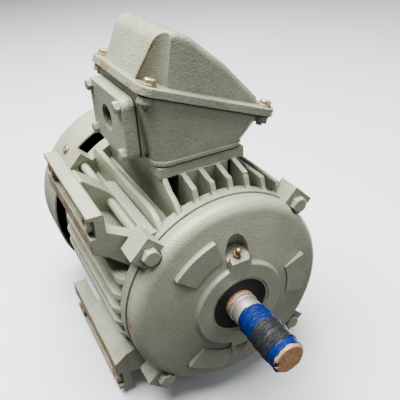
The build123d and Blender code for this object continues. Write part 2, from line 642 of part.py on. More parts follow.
def shaft():
    """Stepped shaft with a keyway in the drive extension."""
    de_end = DE_BEARING_X + DE_WIDTH
    fan_end = FAN_FRONT_X - FAN_HUB_LENGTH
    steps = [
        (fan_end - 3 * FAN_CLIP_WIDTH, FAN_FRONT_X, FAN_SEAT_R),
        (FAN_FRONT_X, NDE_BEARING_X + NDE_WIDTH, NDE_BORE / 2),
        (NDE_BEARING_X + NDE_WIDTH, STACK_REAR_X - CAGE_RING_LENGTH, NDE_SHOULDER_R),
        (STACK_REAR_X - CAGE_RING_LENGTH, STACK_FRONT_X + CAGE_RING_LENGTH, ROTOR_SEAT_R),
        (STACK_FRONT_X + CAGE_RING_LENGTH, DE_BEARING_X, DE_SHOULDER_R),
        (DE_BEARING_X, SHAFT_SHOULDER_X, DE_BORE / 2),
        (SHAFT_SHOULDER_X, SHAFT_END_X, SHAFT_D / 2),
    ]
    shape = joined([disc(r, x0, x1) for x0, x1, r in steps])
    shape = chamfer(shape.edges().filter_by(GeomType.CIRCLE).group_by(Axis.X)[-1], 1.2)
    clip_x = fan_end - FAN_CLIP_WIDTH
    shape -= tube(FAN_SEAT_R + 1, FAN_SEAT_R - 0.8, clip_x, clip_x + FAN_CLIP_WIDTH)
    end_r = KEY_WIDTH / 2
    slot_length = KEY_LENGTH + end_r
    slot = extrude(Rectangle(slot_length, KEY_WIDTH), 2 * KEYWAY_DEPTH)
    slot = fillet(slot.edges().filter_by(Axis.Z).group_by(Axis.X)[0], end_r - 0.01)
    place = Pos(SHAFT_END_X - slot_length / 2 + end_r, 0, SHAFT_HEIGHT - SHAFT_D / 2 + KEYWAY_DEPTH)
    return shape - place * Rot(180, 0, 0) * slot


def stator_core():
    """Laminated ring with winding slots open to the bore."""
    shape = tube(STATOR_R, STATOR_BORE_R, STACK_REAR_X, STACK_FRONT_X)
    slots = [radial_block(360 / SLOT_COUNT * i, STATOR_BORE_R - 2, WINDING_OUTER_R - 4, SLOT_WIDTH,
                          STACK_REAR_X - 1, STACK_FRONT_X + 1) for i in range(SLOT_COUNT)]
    return shape - slots


def stator_winding():
    """Copper winding: bars in the slots and a rounded coil head at each end."""
    bars = [radial_block(360 / SLOT_COUNT * i, WINDING_INNER_R - 2, WINDING_OUTER_R - 4, SLOT_WIDTH,
                         STACK_REAR_X - 3, STACK_FRONT_X + 3) for i in range(SLOT_COUNT)]
    heads = []
    for x0, x1 in ((STACK_REAR_X - WINDING_OVERHANG, STACK_REAR_X),
                   (STACK_FRONT_X, STACK_FRONT_X + WINDING_OVERHANG)):
        corners = [(x0, WINDING_INNER_R), (x1, WINDING_INNER_R), (x1, WINDING_OUTER_R), (x0, WINDING_OUTER_R)]
        free_first = x0 < STACK_REAR_X
        rounding = [6, 0, 0, 6] if free_first else [0, 6, 6, 0]
        heads.append(turned(corners, rounding))
    return joined(heads + bars)


def rotor_core():
    """Laminated rotor pack with holes for the cage bars."""
    shape = tube(ROTOR_R, ROTOR_SEAT_R, STACK_REAR_X, STACK_FRONT_X)
    return shape - cage_bars()


def cage_bars():
    """Round bars of the rotor cage."""
    bars = []
    bar_circle = ROTOR_R - CAGE_BAR_D / 2 - 1.2
    middle = (STACK_REAR_X + STACK_FRONT_X) / 2
    for i in range(CAGE_BAR_COUNT):
        bar = Rot(0, 90, 0) * Cylinder(CAGE_BAR_D / 2, STACK_FRONT_X - STACK_REAR_X)
        bars.append(AXIS * Rot(360 / CAGE_BAR_COUNT * i, 0, 0) * Pos(middle, bar_circle, 0) * bar)
    return bars


def rotor_cage():
    """Cast cage: two end rings joined by the bars."""
    front = tube(ROTOR_R, CAGE_RING_INNER_R, STACK_FRONT_X, STACK_FRONT_X + CAGE_RING_LENGTH)
    rear = tube(ROTOR_R, CAGE_RING_INNER_R, STACK_REAR_X - CAGE_RING_LENGTH, STACK_REAR_X)
    return joined([front, rear] + cage_bars())


def drive_end_seal():
    """Lip seal pressed into the shield, running on the bearing journal."""
    x0 = SEAL_POCKET_X
    x1 = SEAL_POCKET_X + SEAL_WIDTH
    lip_r = DE_BORE / 2 + SEAL_CLEARANCE
    points = [(x0, lip_r + 2.5), (x0, SEAL_R), (x1, SEAL_R), (x1, SEAL_R - 3), (x1 - 1.5, SEAL_R - 4.5),
              (x1 - 1.5, lip_r + 5), (x1, lip_r + 2), (x1, lip_r), (x1 - 2.5, lip_r)]
    return turned(points)


def rear_v_ring():
    """Rubber ring on the shaft that closes the rear shield bore."""
    x1 = REAR_SHIELD_X - 0.4
    journal = NDE_BORE / 2
    points = [(FAN_FRONT_X, journal), (x1, journal + 4), (x1, journal + 6), (FAN_FRONT_X + 1.5, journal + 3.5),
              (FAN_FRONT_X, journal + 3.5)]
    return turned(points)


def wave_spring():
    """Thin washer spring that loads the rear bearing."""
    x0 = NDE_BEARING_X - 2.5
    return tube(NDE_OD / 2, NDE_OD / 2 - 5, x0, NDE_BEARING_X)


def cooling_fan():
    """Radial fan with straight blades for either direction of turning."""
    hub_rear = FAN_FRONT_X - FAN_HUB_LENGTH
    hub = tube(FAN_HUB_R, FAN_SEAT_R, hub_rear, FAN_FRONT_X)
    plate_x = FAN_FRONT_X - FAN_DISC_THICKNESS
    plate = tube(FAN_DISC_R, FAN_SEAT_R, plate_x, FAN_FRONT_X)
    blades = []
    rear_x = FAN_FRONT_X - FAN_DEPTH
    outline = Polyline((FAN_HUB_R - 2, rear_x + 8), (FAN_HUB_R + 14, rear_x), (FAN_R, rear_x),
                       (FAN_R, FAN_FRONT_X - 4), (FAN_DISC_R, FAN_FRONT_X), (FAN_HUB_R - 2, FAN_FRONT_X),
                       close=True)
    blade_face = make_face(outline)
    for i in range(FAN_BLADES):
        plane = Plane(origin=(0, 0, 0), x_dir=(0, 1, 0), z_dir=(0, 0, -1))
        blade = extrude(plane * blade_face, FAN_BLADE_THICKNESS / 2, both=True)
        blades.append(AXIS * Rot(360 / FAN_BLADES * i, 0, 0) * blade)
    return joined([hub, plate] + blades)


def fan_clip():
    """Retaining ring behind the fan hub."""
    x1 = FAN_FRONT_X - FAN_HUB_LENGTH
    ring = tube(FAN_SEAT_R + 3, FAN_SEAT_R - 0.8, x1 - FAN_CLIP_WIDTH, x1)
    return ring - block(x1 - 4, x1 + 4, -2, 2, SHAFT_HEIGHT + FAN_SEAT_R - 3, SHAFT_HEIGHT + FAN_SEAT_R + 6)


def fan_cover():
    """Sheet cover with a rolled corner and an air grille in its rear face."""
    inner = COVER_R - COVER_SHEET
    outer_shell = turned([(COVER_FRONT_X, 0), (COVER_REAR_X, 0),
                          (COVER_REAR_X, COVER_R), (COVER_FRONT_X, COVER_R)],
                         [0, 0, COVER_CORNER, 0])
    inner_shell = turned([(COVER_FRONT_X + 1, 0), (COVER_REAR_X + COVER_SHEET, 0),
                          (COVER_REAR_X + COVER_SHEET, inner), (COVER_FRONT_X + 1, inner)],
                         [0, 0, COVER_CORNER - COVER_SHEET, 0])
    shape = outer_shell - inner_shell
    holes = []
    for ring_r, count in ((14, 6), (27, 12), (40, 18), (53, 24), (66, 30), (79, 36)):
        for i in range(count):
            hole = Rot(0, 90, 0) * Cylinder(4.2, 6 * COVER_SHEET)
            holes.append(AXIS * Rot(360 / count * i, 0, 0) * Pos(COVER_REAR_X, ring_r, 0) * hole)
    shape -= holes
    for angle in EAR_ANGLES:
        hole = Rot(90, 0, 0) * Cylinder(COVER_SCREW_D / 2 + HOLE_CLEARANCE, 6 * COVER_SHEET)
        shape -= AXIS * Rot(angle, 0, 0) * Pos(COVER_SCREW_X, COVER_R, 0) * hole
    return shape


def fan_cover_screws():
    """Four screws through the cover rim into the rear shield lugs."""
    screws = []
    for angle in EAR_ANGLES:
        head = Pos(0, 0, 1.5) * Cylinder(COVER_SCREW_D, 3)
        head = fillet(head.edges().group_by(Axis.Z)[-1], 1.4)
        head -= Pos(0, 0, 3) * Box(3 * COVER_SCREW_D, 1.1, 1.8)
        shank = Pos(0, 0, -5) * Cylinder(COVER_SCREW_D / 2, 10)
        place = AXIS * Rot(angle, 0, 0) * Pos(COVER_SCREW_X, COVER_R, 0) * Rot(-90, 0, 0)
        screws.append(place * (head + shank))
    return separate(screws)


def rounded_prism(length, width, corner, height):
    """Upright prism with rounded corners, its lower face on the local XY plane."""
    return extrude(RectangleRounded(length, width, corner), height)


BASE_PLANE = Plane(origin=(0, -BOX_BOTTOM_Y, SHAFT_HEIGHT), x_dir=(1, 0, 0), z_dir=(0, -1, 0))


def box_shell(inset):
    """Tapered box between the base and the tilted split plane."""
    base = BASE_PLANE * RectangleRounded(BOX_BASE_X - 2 * inset, BOX_BASE_Z - 2 * inset, BOX_CORNER - inset)
    top_plane = SPLIT_PLANE.offset(-GASKET)
    top = top_plane * Pos(0, BOX_TOP_SHIFT) * RectangleRounded(
        BOX_TOP_X - 2 * inset, BOX_TOP_LENGTH - 2 * inset, BOX_CORNER - inset)
    return loft([base.faces()[0], top.faces()[0]], ruled=True)


def lid_screw_spots():
    """Places of the four lid screws in the split plane, high side first."""
    return [(x, u) for u in (-LID_SCREW_U, LID_SCREW_U) for x in (-LID_SCREW_X, LID_SCREW_X)]


def terminal_box_body():
    """Lower part of the diagonally split terminal box."""
    shell = box_shell(0) - (box_shell(BOX_WALL) - BASE_PLANE.location * Box(300, 300, 2 * BOX_BASE_THICKNESS))
    lip = BASE_PLANE.location * rounded_prism(BOX_BASE_X + 2 * BOX_LIP, BOX_BASE_Z + 2 * BOX_LIP,
                                              BOX_CORNER, BOX_LIP_HEIGHT)
    plate_side = Plane(origin=(0, -PLATE_CENTRE_Y, SHAFT_HEIGHT - PLATE_BOSS_Z),
                       x_dir=(1, 0, 0), z_dir=(0, 0, 1))
    boss = plate_side.location * rounded_prism(PLATE_LENGTH, PLATE_HEIGHT, PLATE_CORNER, PLATE_BOSS_Z - 38)
    shape = shell + lip + boss
    for x, u in lid_screw_spots():
        shape += SPLIT * Pos(x, u, -GASKET - LID_LUG_DEPTH / 2) * Cylinder(LID_LUG_R, LID_LUG_DEPTH)
    shape -= plate_side.location * Cylinder(CONDUIT_D / 2 + 1, 60)
    shape -= lead_window()
    for x, y in plate_bolt_spots():
        shape -= plate_side.location * Pos(x, y, 0) * Cylinder(PLATE_BOLT_D / 2 + HOLE_CLEARANCE, 24)
    for x, u in lid_screw_spots():
        shape -= SPLIT * Pos(x, u, -GASKET) * Cylinder(LID_SCREW_D / 2 + HOLE_CLEARANCE, 24)
    for x in (-BOX_SCREW_X, BOX_SCREW_X):
        for z in (-BOX_SCREW_Z, BOX_SCREW_Z):
            shape -= BASE_PLANE.location * Pos(x, -z, 0) * Cylinder(BOX_SCREW_D / 2 + HOLE_CLEARANCE, 40)
    return shape


def plate_bolt_spots():
    """Places of the conduit plate bolts on the plate."""
    return [(sx * PLATE_BOLT_X / 2, sy * PLATE_BOLT_Y / 2) for sx in (-1, 1) for sy in (-1, 1)]


def lid_profile(inset):
    """Side outline of the lid hump in the (u, height) plane."""
    high_end = LID_LENGTH / 2 - 4 - inset
    low_end = LID_LENGTH / 2 - 12 - inset
    top = LID_HIGH - inset
    foot_z = -1 if inset else 0
    return FilletPolyline(
        (-high_end, foot_z), (-high_end + 8, top), (-high_end + 31, top - 0.5), (8, top * 0.69),
        (low_end - 3, LID_LOW - inset), (low_end, foot_z),
        radius=[0, 16 - inset, 30, 60, 5, 0], close=True)


def lid_hump(inset, cone_extra):
    """Raised part of the lid, scooped at its corners to clear the screws."""
    plane = Plane(origin=(-LID_HUMP_X / 2 + inset, 0, 0), x_dir=(0, 1, 0), z_dir=(1, 0, 0))
    body = extrude(plane * make_face(lid_profile(inset)), LID_HUMP_X - 2 * inset)
    if inset == 0:
        ends = body.edges().filter_by(lambda e: abs(abs(e.center().X) - LID_HUMP_X / 2) < 0.01)
        body = fillet([e for e in ends if e.center().Z > 1], LID_END_ROUNDING)
    for x, u in lid_screw_spots():
        base_r = SCOOP_BASE_R if u < 0 else SCOOP_BASE_R / 2
        top_r = SCOOP_TOP_R
        cone = Pos(x, u, LID_HIGH / 2) * Cone(base_r + cone_extra, top_r + cone_extra, LID_HIGH + 6)
        body -= cone
    return body


def terminal_box_lid():
    """Cast lid with a thick flange and a hump that falls from the high side."""
    flange = rounded_prism(LID_X, LID_LENGTH, LID_CORNER, LID_FLANGE)
    flange = fillet(flange.edges().group_by(Axis.Z)[-1], 1.5)
    hollow = lid_hump(LID_WALL, LID_WALL)
    shape = flange + lid_hump(0, 0) - hollow
    for x, u in lid_screw_spots():
        shape -= Pos(x, u, 0) * Cylinder(LID_SCREW_D / 2 + HOLE_CLEARANCE, 4 * LID_FLANGE)
    return SPLIT * shape


def lid_gasket():
    """Flat gasket between the box and its lid."""
    outer = Rectangle(BOX_TOP_X, BOX_TOP_LENGTH)
    inner = Rectangle(BOX_TOP_X - 2 * BOX_WALL - 2, BOX_TOP_LENGTH - 2 * BOX_WALL - 2)
    ring = extrude(Pos(0, BOX_TOP_SHIFT) * (outer - inner), GASKET)
    shape = SPLIT * Pos(0, 0, -GASKET) * ring
    for x, u in lid_screw_spots():
        shape += SPLIT * Pos(x, u, -GASKET / 2) * Cylinder(LID_LUG_R, GASKET)
    for x, u in lid_screw_spots():
        shape -= SPLIT * Pos(x, u, 0) * Cylinder(LID_SCREW_D / 2 + HOLE_CLEARANCE, 10)
    return shape


def lid_screws():
    """Four flanged hex screws of the lid."""
    screws = []
    for x, u in lid_screw_spots():
        collar = Pos(0, 0, 0.75) * Cylinder(LID_SCREW_AF / 2 + 1.6, 1.5)
        screw = hex_screw(LID_SCREW_AF, 5.5, LID_SCREW_D, LID_FLANGE + GASKET + 9)
        screws.append(SPLIT * Pos(x, u, LID_FLANGE) * (screw + collar))
    return separate(screws)


def box_gasket():
    """Gasket between the frame pad and the terminal box."""
    sheet = rounded_prism(BOX_BASE_X, BOX_BASE_Z - 1, BOX_CORNER, GASKET)
    shape = BASE_PLANE.offset(-GASKET).location * sheet - lead_window()
    for x in (-BOX_SCREW_X, BOX_SCREW_X):
        for z in (-BOX_SCREW_Z, BOX_SCREW_Z):
            shape -= BASE_PLANE.location * Pos(x, -z, 0) * Cylinder(BOX_SCREW_D / 2 + HOLE_CLEARANCE, 10)
    return shape


def box_screws():
    """Four screws that hold the terminal box on the frame."""
    floor = Plane(origin=(0, -BOX_FLOOR_Y, SHAFT_HEIGHT), x_dir=(1, 0, 0), z_dir=(0, -1, 0))
    length = BOX_BASE_THICKNESS + GASKET + PAD_THICKNESS - 3
    screw = hex_screw(10, 4, BOX_SCREW_D, length)
    return separate([floor.location * Pos(x, z, 0) * screw
                     for x in (-BOX_SCREW_X, BOX_SCREW_X) for z in (-BOX_SCREW_Z, BOX_SCREW_Z)])


def plate_plane(z):
    """Plane parallel to the conduit plate whose normal points out, along -Z."""
    return Plane(origin=(0, -PLATE_CENTRE_Y, SHAFT_HEIGHT - z), x_dir=(1, 0, 0), z_dir=(0, 0, -1)).location


def conduit_plate():
    """Cast adaptor plate with the threaded conduit entry."""
    blank = rounded_prism(PLATE_LENGTH, PLATE_HEIGHT, PLATE_CORNER, PLATE_THICKNESS)
    shape = plate_plane(PLATE_INNER_Z) * blank
    rim = shape.edges().filter_by(lambda e: abs(e.center().Z - (SHAFT_HEIGHT - PLATE_OUTER_Z)) < 0.01)
    shape = fillet(rim, 1.2)
    shape -= plate_plane(PLATE_INNER_Z) * Cylinder(CONDUIT_D / 2, 60)
    for x, y in plate_bolt_spots():
        shape -= plate_plane(PLATE_INNER_Z) * Pos(x, y, 0) * Cylinder(PLATE_BOLT_D / 2 + HOLE_CLEARANCE, 60)
    return shape


def conduit_plate_gasket():
    """Gasket behind the conduit plate."""
    shape = plate_plane(PLATE_BOSS_Z) * rounded_prism(PLATE_LENGTH, PLATE_HEIGHT, PLATE_CORNER, GASKET)
    shape -= plate_plane(PLATE_BOSS_Z) * Cylinder(CONDUIT_D / 2 + 1, 10)
    for x, y in plate_bolt_spots():
        shape -= plate_plane(PLATE_BOSS_Z) * Pos(x, y, 0) * Cylinder(PLATE_BOLT_D / 2 + HOLE_CLEARANCE, 10)
    return shape


def conduit_plate_bolts():
    """Four hex bolts of the conduit plate."""
    length = PLATE_THICKNESS + GASKET + 9
    screw = hex_screw(PLATE_BOLT_AF, 5, PLATE_BOLT_D, length)
    return separate([plate_plane(PLATE_OUTER_Z) * Pos(x, y, 0) * screw for x, y in plate_bolt_spots()])


def board_plane(height):
    """Plane above the terminal board floor, its normal pointing out of the box."""
    return Plane(origin=(0, -BOX_FLOOR_Y - height, SHAFT_HEIGHT), x_dir=(1, 0, 0), z_dir=(0, -1, 0)).location


def stud_spots():
    """Places of the six terminal studs."""
    return [(i * STUD_PITCH_X, k * STUD_PITCH_Z / 2) for i in (-1, 0, 1) for k in (-1, 1)]


def terminal_board():
    """Moulded board that carries the terminal studs."""
    shape = board_plane(0) * rounded_prism(BOARD_LENGTH, BOARD_WIDTH, 4, BOARD_HEIGHT)
    groove = Box(2, BOARD_WIDTH + 2, 3)
    for x in (-STUD_PITCH_X / 2, STUD_PITCH_X / 2):
        shape -= board_plane(BOARD_HEIGHT) * Pos(x, 0, 0) * groove
    for x, y in stud_spots():
        shape -= board_plane(BOARD_HEIGHT) * Pos(x, y, 0) * Cylinder(STUD_D / 2, BOARD_HEIGHT)
    return shape


def terminal_studs():
    """Six brass studs standing on the board."""
    length = STUD_LENGTH + BOARD_HEIGHT / 2
    stud = Pos(0, 0, length / 2 - BOARD_HEIGHT / 2) * Cylinder(STUD_D / 2, length)
    return separate([board_plane(BOARD_HEIGHT) * Pos(x, y, 0) * stud for x, y in stud_spots()])


def terminal_nuts():
    """Six nuts that clamp the leads to the studs."""
    nut = hexagon(NUT_AF, NUT_HEIGHT) - Cylinder(STUD_D / 2, 4 * NUT_HEIGHT)
    return separate([board_plane(BOARD_HEIGHT) * Pos(x, y, 0) * nut for x, y in stud_spots()])


def motor_leads():
    """Six insulated leads from the winding head to the terminal board."""
    leads = []
    entry_y = -BOX_FLOOR_Y - BOARD_HEIGHT / 2
    for i in range(LEAD_COUNT):
        z = (i - (LEAD_COUNT - 1) / 2) * LEAD_PITCH
        start_y = -sqrt((WINDING_OUTER_R + 0.1) ** 2 - (abs(z) - LEAD_D / 2) ** 2)
        if abs(z) < LEAD_D / 2:
            start_y = -WINDING_OUTER_R - 0.1
        path = FilletPolyline(
            (LEAD_WINDOW_X, start_y, SHAFT_HEIGHT + z), (LEAD_WINDOW_X, entry_y, SHAFT_HEIGHT + z),
            (BOARD_LENGTH / 2, entry_y, SHAFT_HEIGHT + z), radius=LEAD_BEND)
        section = Plane(origin=path @ 0, z_dir=path % 0) * Circle(LEAD_D / 2)
        leads.append(sweep(section, path=path))
    return separate(leads)


def earth_screw():
    """Earth terminal screw on the floor of the box."""
    floor = Plane(origin=(7 - BOX_SCREW_X, -BOX_FLOOR_Y, SHAFT_HEIGHT), x_dir=(1, 0, 0), z_dir=(0, -1, 0))
    return floor.location * (hexagon(10, 4) + Pos(0, 0, 0.5) * Cylinder(7, 1))


def grease_nipple():
    """Grease nipple screwed into the upper lobe."""
    body = hexagon(7, 3) + Pos(0, 0, 5) * Cylinder(2.2, 5) + Pos(0, 0, 7.5) * Sphere(2.9)
    return grease_axis(-1) * (body + Pos(0, 0, -3) * Cylinder(2.4, 6))


def grease_relief_plug():
    """Hex plug in the lower lobe, where spent grease leaves."""
    return grease_axis(1) * hex_screw(8, 4, 4.8, 6)


def main():
    """Build every node and write one STEP file for each."""
    de_parts = bearing(DE_BEARING_X, DE_BORE, DE_OD, DE_WIDTH, DE_BALLS, DE_BALL_D)
    nde_parts = bearing(NDE_BEARING_X, NDE_BORE, NDE_OD, NDE_WIDTH, NDE_BALLS, NDE_BALL_D)
    bearing_names = ("outer_race", "inner_race", "balls", "cage")
    nodes = {
        "frame_housing": frame_housing(),
        "drive_end_shield": drive_end_shield(),
        "rear_end_shield": rear_end_shield(),
        "drive_end_bolts": shield_bolts(True),
        "rear_end_bolts": shield_bolts(False),
        "drive_end_seal": drive_end_seal(),
        "grease_nipple": grease_nipple(),
        "grease_relief_plug": grease_relief_plug(),
        "wave_spring": wave_spring(),
        "stator_core": stator_core(),
        "stator_winding": stator_winding(),
        "motor_leads": motor_leads(),
        "shaft": shaft(),
        "rotor_core": rotor_core(),
        "rotor_cage": rotor_cage(),
        "rear_v_ring": rear_v_ring(),
        "cooling_fan": cooling_fan(),
        "fan_clip": fan_clip(),
        "fan_cover": fan_cover(),
        "fan_cover_screws": fan_cover_screws(),
        "terminal_box_body": terminal_box_body(),
        "terminal_box_lid": terminal_box_lid(),
        "lid_gasket": lid_gasket(),
        "lid_screws": lid_screws(),
        "box_gasket": box_gasket(),
        "box_screws": box_screws(),
        "conduit_plate": conduit_plate(),
        "conduit_plate_gasket": conduit_plate_gasket(),
        "conduit_plate_bolts": conduit_plate_bolts(),
        "terminal_board": terminal_board(),
        "terminal_studs": terminal_studs(),
        "terminal_nuts": terminal_nuts(),
        "earth_screw": earth_screw(),
    }
    for name, shape in zip(bearing_names, de_parts):
        nodes["drive_end_bearing_" + name] = shape
    for name, shape in zip(bearing_names, nde_parts):
        nodes["rear_bearing_" + name] = shape
    os.makedirs("parts", exist_ok=True)
    for name, shape in nodes.items():
        export_step(shape, f"parts/{name}.step")


if __name__ == "__main__":
    main()
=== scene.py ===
import bpy
import math
from mathutils import Matrix, Vector, noise


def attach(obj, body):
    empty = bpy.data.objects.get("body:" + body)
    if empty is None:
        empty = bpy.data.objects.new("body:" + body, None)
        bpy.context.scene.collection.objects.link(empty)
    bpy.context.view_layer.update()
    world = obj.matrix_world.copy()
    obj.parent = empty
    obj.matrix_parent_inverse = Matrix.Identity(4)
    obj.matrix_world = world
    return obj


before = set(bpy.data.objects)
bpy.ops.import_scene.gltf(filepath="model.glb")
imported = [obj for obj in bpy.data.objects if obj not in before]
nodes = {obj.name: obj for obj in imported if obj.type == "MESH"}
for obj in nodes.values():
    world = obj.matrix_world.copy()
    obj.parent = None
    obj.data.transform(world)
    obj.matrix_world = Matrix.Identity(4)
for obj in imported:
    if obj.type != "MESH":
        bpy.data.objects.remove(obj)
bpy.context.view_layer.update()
MM = 0.001  # one millimetre in scene units
AXIS_Z = 0.1143  # height of the shaft axis over the feet, in metres
FULL_TURN = 2 * math.pi


# Material helpers. Colours are linear triples, and noise scales are features per metre.

class Shader:
    """A small wrapper that adds and links shader nodes."""

    def __init__(self, name):
        self.mat = bpy.data.materials.new(name)
        self.mat.use_nodes = True
        self.tree = self.mat.node_tree
        self.tree.nodes.clear()
        self.out = self.add("ShaderNodeOutputMaterial")
        self.bsdf = self.add("ShaderNodeBsdfPrincipled")
        self.link(self.bsdf.outputs["BSDF"], self.out.inputs["Surface"])
        self.coord = self.add("ShaderNodeTexCoord").outputs["Object"]

    def add(self, kind, **values):
        node = self.tree.nodes.new(kind)
        for key, value in values.items():
            setattr(node, key, value)
        return node

    def link(self, source, target):
        self.tree.links.new(source, target)

    def put(self, value, socket):
        """Links a socket, or sets a plain value."""
        if isinstance(value, bpy.types.NodeSocket):
            self.link(value, socket)
        else:
            socket.default_value = value

    def put_colour(self, value, socket):
        """Links a socket, or sets a colour triple."""
        self.put(value if isinstance(value, bpy.types.NodeSocket) else (*value, 1.0), socket)

    def noise(self, scale, detail=3.0, rough=0.5, stretch=None, distortion=0.0):
        """Noise from 0 to 1, stretched by a scale for each axis if one is given."""
        node = self.add("ShaderNodeTexNoise")
        coord = self.coord
        if stretch:
            mapping = self.add("ShaderNodeMapping")
            mapping.inputs["Scale"].default_value = stretch
            self.link(coord, mapping.inputs["Vector"])
            coord = mapping.outputs["Vector"]
        self.link(coord, node.inputs["Vector"])
        node.inputs["Scale"].default_value = scale
        node.inputs["Detail"].default_value = detail
        node.inputs["Roughness"].default_value = rough
        node.inputs["Distortion"].default_value = distortion
        return node.outputs["Fac"]

    def ramp(self, value, low, high, invert=False):
        """Maps low to high onto 0 to 1, clamped."""
        node = self.add("ShaderNodeMapRange")
        node.clamp = True
        self.put(value, node.inputs["Value"])
        node.inputs["From Min"].default_value = low
        node.inputs["From Max"].default_value = high
        node.inputs["To Min"].default_value = 1.0 if invert else 0.0
        node.inputs["To Max"].default_value = 0.0 if invert else 1.0
        return node.outputs["Result"]

    def patches(self, low, high, scale, detail, rough=0.5):
        """Noise cut to patches: 0 below low and 1 above high."""
        return self.ramp(self.noise(scale, detail, rough), low, high)

    def math(self, operation, a, b):
        node = self.add("ShaderNodeMath", operation=operation)
        self.put(a, node.inputs[0])
        self.put(b, node.inputs[1])
        return node.outputs[0]

    def plus(self, a, b):
        return self.math("ADD", a, b)

    def minus(self, a, b):
        return self.math("SUBTRACT", a, b)

    def times(self, a, b):
        return self.math("MULTIPLY", a, b)

    def most(self, a, b):
        return self.math("MAXIMUM", a, b)

    def mix(self, factor, a, b):
        """Colour a where the factor is 0, colour b where it is 1."""
        node = self.add("ShaderNodeMix", data_type="RGBA")
        self.put(factor, node.inputs[0])
        self.put_colour(a, node.inputs[6])
        self.put_colour(b, node.inputs[7])
        return node.outputs[2]

    def position(self):
        """Sockets of X, Y and Z in metres."""
        node = self.add("ShaderNodeSeparateXYZ")
        self.link(self.coord, node.inputs[0])
        return node.outputs

    def distance_to_point(self, point):
        """Distance in metres from a point given in mm."""
        away = self.add("ShaderNodeVectorMath", operation="DISTANCE")
        self.link(self.coord, away.inputs[0])
        away.inputs[1].default_value = Vector(point) * MM
        return away.outputs["Value"]

    def distance_to_line(self, start, end):
        """Distance in metres from the line through two points given in mm."""
        offset = self.add("ShaderNodeVectorMath", operation="SUBTRACT")
        self.link(self.coord, offset.inputs[0])
        offset.inputs[1].default_value = Vector(start) * MM
        cross = self.add("ShaderNodeVectorMath", operation="CROSS_PRODUCT")
        self.link(offset.outputs["Vector"], cross.inputs[0])
        cross.inputs[1].default_value = (Vector(end) - Vector(start)).normalized()
        length = self.add("ShaderNodeVectorMath", operation="LENGTH")
        self.link(cross.outputs["Vector"], length.inputs[0])
        return length.outputs["Value"]

    def soft_edges(self, radius):
        """Normal with edges rounded to a radius in metres."""
        node = self.add("ShaderNodeBevel", samples=4)
        node.inputs["Radius"].default_value = radius
        return node.outputs["Normal"]

    def edge_mask(self, radius):
        """1 near sharp edges, 0 on flat faces."""
        bevel = self.soft_edges(radius)
        geometry = self.add("ShaderNodeNewGeometry")
        dot = self.add("ShaderNodeVectorMath", operation="DOT_PRODUCT")
        self.link(bevel, dot.inputs[0])
        self.link(geometry.outputs["Normal"], dot.inputs[1])
        return self.ramp(dot.outputs["Value"], 0.80, 0.995, invert=True)

    def corner_mask(self, distance):
        """1 in corners that are closed in within a distance in metres, 0 on open faces."""
        node = self.add("ShaderNodeAmbientOcclusion", samples=4)
        node.inputs["Distance"].default_value = distance
        return self.ramp(node.outputs["AO"], 0.25, 0.85, invert=True)

    def bump(self, height, distance, normal, strength):
        node = self.add("ShaderNodeBump")
        self.put(height, node.inputs["Height"])
        node.inputs["Distance"].default_value = distance
        node.inputs["Strength"].default_value = strength
        if normal is not None:
            self.link(normal, node.inputs["Normal"])
        return node.outputs["Normal"]

    def finish(self, colour, roughness, normal, metallic=0.0):
        self.put_colour(colour, self.bsdf.inputs["Base Color"])
        self.put(roughness, self.bsdf.inputs["Roughness"])
        self.put(metallic, self.bsdf.inputs["Metallic"])
        self.link(normal, self.bsdf.inputs["Normal"])
        return self.mat


def shade(base, factor, lift=0.0):
    """A colour made lighter or darker."""
    return tuple(min(1.0, c * factor + lift) for c in base)


# Rust, and where it sits

RUST_DARK = (0.095, 0.038, 0.018)
RUST_LIGHT = (0.31, 0.185, 0.095)
LID_RIDGE = ((36.7, -202.8, 68.3), (43.0, -233.0, 86.4))  # ends of the ridge on the lid's hump, in mm
RIDGE_WANDER = 2.4 * MM
LID_CENTRE_Y = 172.3 * MM  # distance of the lid flange's centre on the -Y side
LID_CENTRE_Z = 125.6 * MM
LID_SLOPE_Y = 0.355  # direction along the tilted lid flange
LID_SLOPE_Z = 0.935
LID_RUST_STRENGTH = 0.85
SHIELD_CHIP = (97.0, -7.0, 13.5)  # chip in the paint at the shield's rim, in mm


def rust(s):
    return s.mix(s.patches(0.35, 0.65, 420, 6, 0.7), RUST_DARK, RUST_LIGHT)


def lid_marks(s):
    """Rust on the ridge of the lid's hump, on the flange edge below it and at the corner."""
    x, y, z = s.position()
    along = s.times(s.plus(y, LID_CENTRE_Y), LID_SLOPE_Y)
    along = s.plus(along, s.times(s.minus(z, LID_CENTRE_Z), LID_SLOPE_Z))
    wander = s.times(s.minus(s.noise(130, 4), 0.5), RIDGE_WANDER)
    ridge = s.ramp(s.plus(s.distance_to_line(*LID_RIDGE), wander), 1.0 * MM, 2.5 * MM, invert=True)
    ridge = s.times(ridge, s.patches(0.40, 0.56, 95, 5, 0.7))
    flange = s.ramp(along, -68.6 * MM, -67.4 * MM, invert=True)
    flange = s.times(flange, s.patches(0.50, 0.57, 42, 6, 0.7))
    corner = s.times(s.ramp(x, 50 * MM, 58 * MM), s.ramp(along, -64 * MM, -60 * MM, invert=True))
    corner = s.times(corner, s.patches(0.52, 0.58, 210, 6, 0.75))
    return s.times(s.most(ridge, s.most(flange, corner)), LID_RUST_STRENGTH)


def shield_marks(s):
    """Rust where the coating broke at the rim of the shield."""
    near = s.ramp(s.distance_to_point(SHIELD_CHIP), 3 * MM, 9 * MM, invert=True)
    return s.times(near, s.patches(0.42, 0.52, 190, 6, 0.75))


